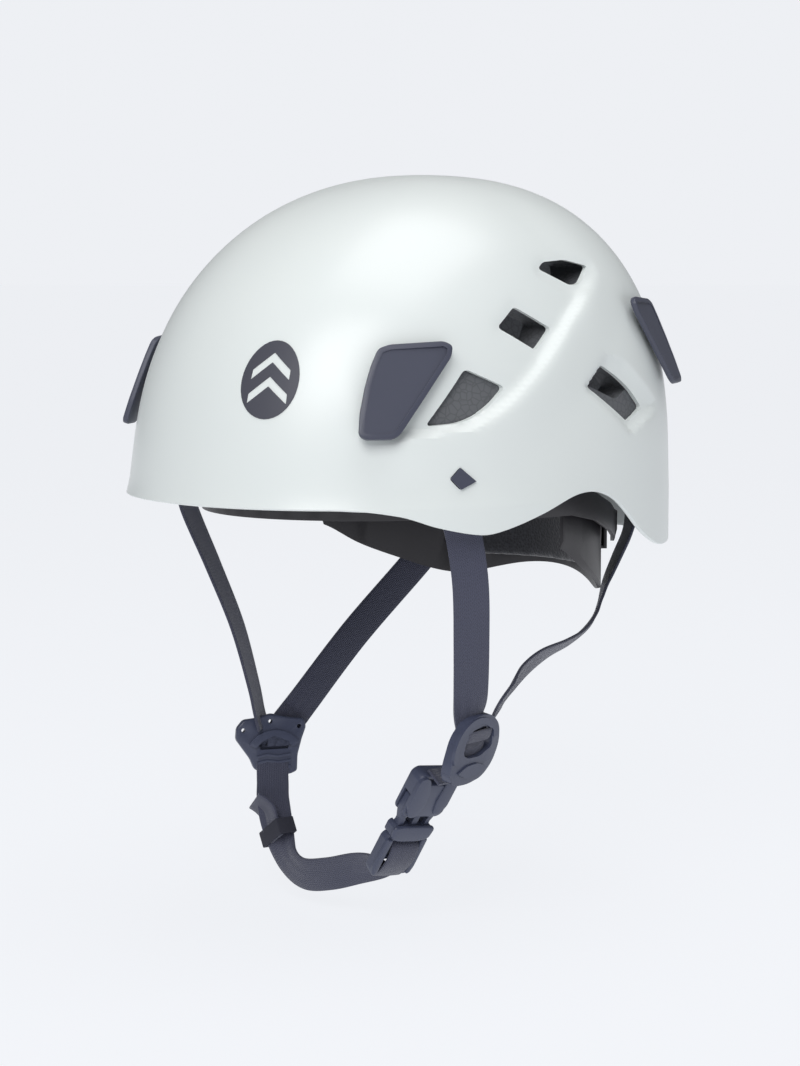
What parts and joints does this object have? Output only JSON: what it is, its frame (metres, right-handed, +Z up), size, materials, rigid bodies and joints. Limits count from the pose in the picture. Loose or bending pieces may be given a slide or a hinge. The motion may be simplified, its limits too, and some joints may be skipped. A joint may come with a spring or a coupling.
{
  "type": "climbing helmet",
  "caption": "Hard-shell climbing helmet with side vents, headlamp clips, foam crown liner, dial-adjusted headband and a webbing chin harness with side-release buckle.",
  "frame": {"origin": "centre of the head opening, level with the brow rim", "axes": "+X to the wearer's left, -Y to the front, +Z up through the crown"},
  "size_m": [0.2216, 0.2748, 0.3457],
  "materials": {
    "shell": "satin moulded",
    "foam": "moulded foam beads",
    "pad": "brushed knit",
    "webbing": "woven",
    "elastic": "woven elastic",
    "clip": "satin moulded",
    "buckle": "fine textured",
    "steel": "zinc plated",
    "suspension": "moulded"
  },
  "bodies": {
    "helmet": {"shell": "shell", "foam_liner": "foam", "clip_studs": "suspension", "headband": "suspension", "brow_pad": "pad", "band_hangers": "suspension", "temple_pins": "suspension", "front_anchor_left": "suspension", "front_anchor_right": "suspension", "rear_anchor_left": "suspension", "rear_anchor_right": "suspension"},
    "suspension": {"adjuster_housing": "suspension", "adjuster_cover": "suspension", "housing_screws": "steel", "click_spring": "steel", "nape_cradle": "suspension", "nape_pad": "pad", "temple_link_left": "suspension", "temple_link_right": "suspension"},
    "dial": {"dial": "suspension", "pinion": "suspension", "dial_screw": "steel"},
    "arm_left": {"arm_left": "suspension"},
    "arm_right": {"arm_right": "suspension"},
    "front_clip_left": {"front_clip_left": "clip"},
    "front_clip_right": {"front_clip_right": "clip"},
    "rear_clip_left": {"rear_clip_left": "clip"},
    "rear_clip_right": {"rear_clip_right": "clip"},
    "harness": {"front_strap_left": "webbing", "front_strap_right": "webbing", "rear_strap_left": "webbing", "rear_strap_right": "webbing", "chin_strap": "webbing", "strap_tail": "webbing", "short_strap": "webbing", "left_yoke": "buckle", "right_yoke": "buckle", "buckle_socket": "buckle"},
    "buckle_plug": {"buckle_frame": "buckle"},
    "prong_front": {"buckle_prong_front": "buckle"},
    "prong_rear": {"buckle_prong_rear": "buckle"},
    "keeper": {"strap_keeper": "elastic"}
  },
  "joints": [
    {"name": "suspension_tilt", "type": "hinge", "parent": "helmet", "child": "suspension", "pos_m": [0, -0.052, -0.003], "axis": [1, 0, 0], "range_deg": [0, 8]},
    {"name": "dial_turn", "type": "hinge", "parent": "suspension", "child": "dial", "pos_m": [0, 0.118, -0.024], "axis": [0, 1, 0], "range_deg": [-70, 70]},
    {"name": "left_arm_travel", "type": "hinge", "parent": "suspension", "child": "arm_left", "pos_m": [0, 0.004, 0], "axis": [0, 0, 1], "range_deg": [-3, 3]},
    {"name": "right_arm_travel", "type": "hinge", "parent": "suspension", "child": "arm_right", "pos_m": [0, 0.004, 0], "axis": [0, 0, 1], "range_deg": [-3, 3]},
    {"name": "harness_swing", "type": "hinge", "parent": "helmet", "child": "harness", "pos_m": [0, -0.058, 0.01], "axis": [1, 0, 0], "range_deg": [-6, 10], "deforming": ["front_strap_left", "front_strap_right", "rear_strap_left", "rear_strap_right"]},
    {"name": "buckle_release", "type": "slide", "parent": "harness", "child": "buckle_plug", "axis": [-0.5241, -0.0328, -0.851], "range_m": [0, 0.03], "deforming": ["chin_strap", "short_strap", "strap_tail"]},
    {"name": "prong_press_front", "type": "hinge", "parent": "buckle_plug", "child": "prong_front", "pos_m": [0.03427, -0.03635, -0.15253], "axis": [0.8431, -0.161, -0.5131], "range_deg": [-6, 0], "stiffness_Nm_per_rad": 0.02},
    {"name": "prong_press_rear", "type": "hinge", "parent": "buckle_plug", "child": "prong_rear", "pos_m": [0.03605, -0.02175, -0.15419], "axis": [0.8431, -0.161, -0.5131], "range_deg": [0, 6], "stiffness_Nm_per_rad": 0.02},
    {"name": "front_clip_left_flex", "type": "hinge", "parent": "helmet", "child": "front_clip_left", "pos_m": [0.08388, -0.07713, 0.06196], "axis": [-0.552, -0.8318, 0.0582], "range_deg": [0, 6], "stiffness_Nm_per_rad": 0.4},
    {"name": "front_clip_right_flex", "type": "hinge", "parent": "helmet", "child": "front_clip_right", "pos_m": [-0.08388, -0.07713, 0.06196], "axis": [-0.552, 0.8318, -0.0582], "range_deg": [0, 6], "stiffness_Nm_per_rad": 0.4},
    {"name": "rear_clip_left_flex", "type": "hinge", "parent": "helmet", "child": "rear_clip_left", "pos_m": [0.08434, 0.08105, 0.0799], "axis": [0.4492, -0.8913, 0.0623], "range_deg": [0, 6], "stiffness_Nm_per_rad": 0.4},
    {"name": "rear_clip_right_flex", "type": "hinge", "parent": "helmet", "child": "rear_clip_right", "pos_m": [-0.08434, 0.08105, 0.0799], "axis": [0.4492, 0.8913, -0.0623], "range_deg": [0, 6], "stiffness_Nm_per_rad": 0.4},
    {"name": "keeper_slide", "type": "slide", "parent": "harness", "child": "keeper", "axis": [-0.5044, 0.1009, 0.8575], "range_m": [-0.006, 0.006]}
  ],
  "couplings": [
    {"joint": "left_arm_travel", "follows": "dial_turn", "ratio": -0.042056},
    {"joint": "right_arm_travel", "follows": "dial_turn", "ratio": 0.042056},
    {"joint": "prong_press_rear", "follows": "prong_press_front", "ratio": -1}
  ]
}
